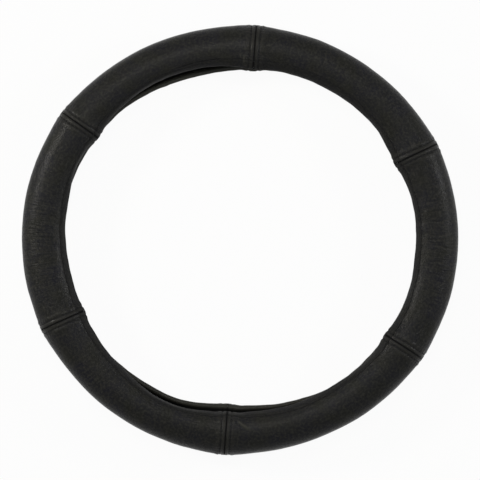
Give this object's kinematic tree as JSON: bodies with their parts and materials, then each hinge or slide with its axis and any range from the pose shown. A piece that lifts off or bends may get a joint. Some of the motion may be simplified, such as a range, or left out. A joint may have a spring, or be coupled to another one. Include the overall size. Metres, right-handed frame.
{
  "type": "steering wheel cover",
  "caption": "Slip-on steering wheel cover: sewn leather panels round a rubber ring with a C-shaped section, open towards the middle of the wheel.",
  "frame": {"origin": "under the middle of the cover's box, on the plane of the back face that it lies on", "axes": "+Z out of the front of the wheel, along the ring's axis; +Y towards the top of the wheel; +X to the right as seen from the front"},
  "size_m": [0.3904, 0.385, 0.037],
  "materials": {
    "leather": "black grained leather, satin",
    "rubber": "matte black moulded rubber",
    "thread": "black bonded sewing thread"
  },
  "bodies": {
    "root": {"inner_ring": "rubber", "hem_thread_front": "thread", "hem_thread_back": "thread", "leather_panel_1": "leather", "seam_thread_1": "thread", "top_thread_1_before": "thread", "top_thread_1_after": "thread", "leather_panel_2": "leather", "seam_thread_2": "thread", "top_thread_2_before": "thread", "top_thread_2_after": "thread", "leather_panel_3": "leather", "seam_thread_3": "thread", "top_thread_3_before": "thread", "top_thread_3_after": "thread", "leather_panel_4": "leather", "seam_thread_4": "thread", "top_thread_4_before": "thread", "top_thread_4_after": "thread", "leather_panel_5": "leather", "seam_thread_5": "thread", "top_thread_5_before": "thread", "top_thread_5_after": "thread", "leather_panel_6": "leather", "seam_thread_6": "thread", "top_thread_6_before": "thread", "top_thread_6_after": "thread"}
  },
  "joints": []
}
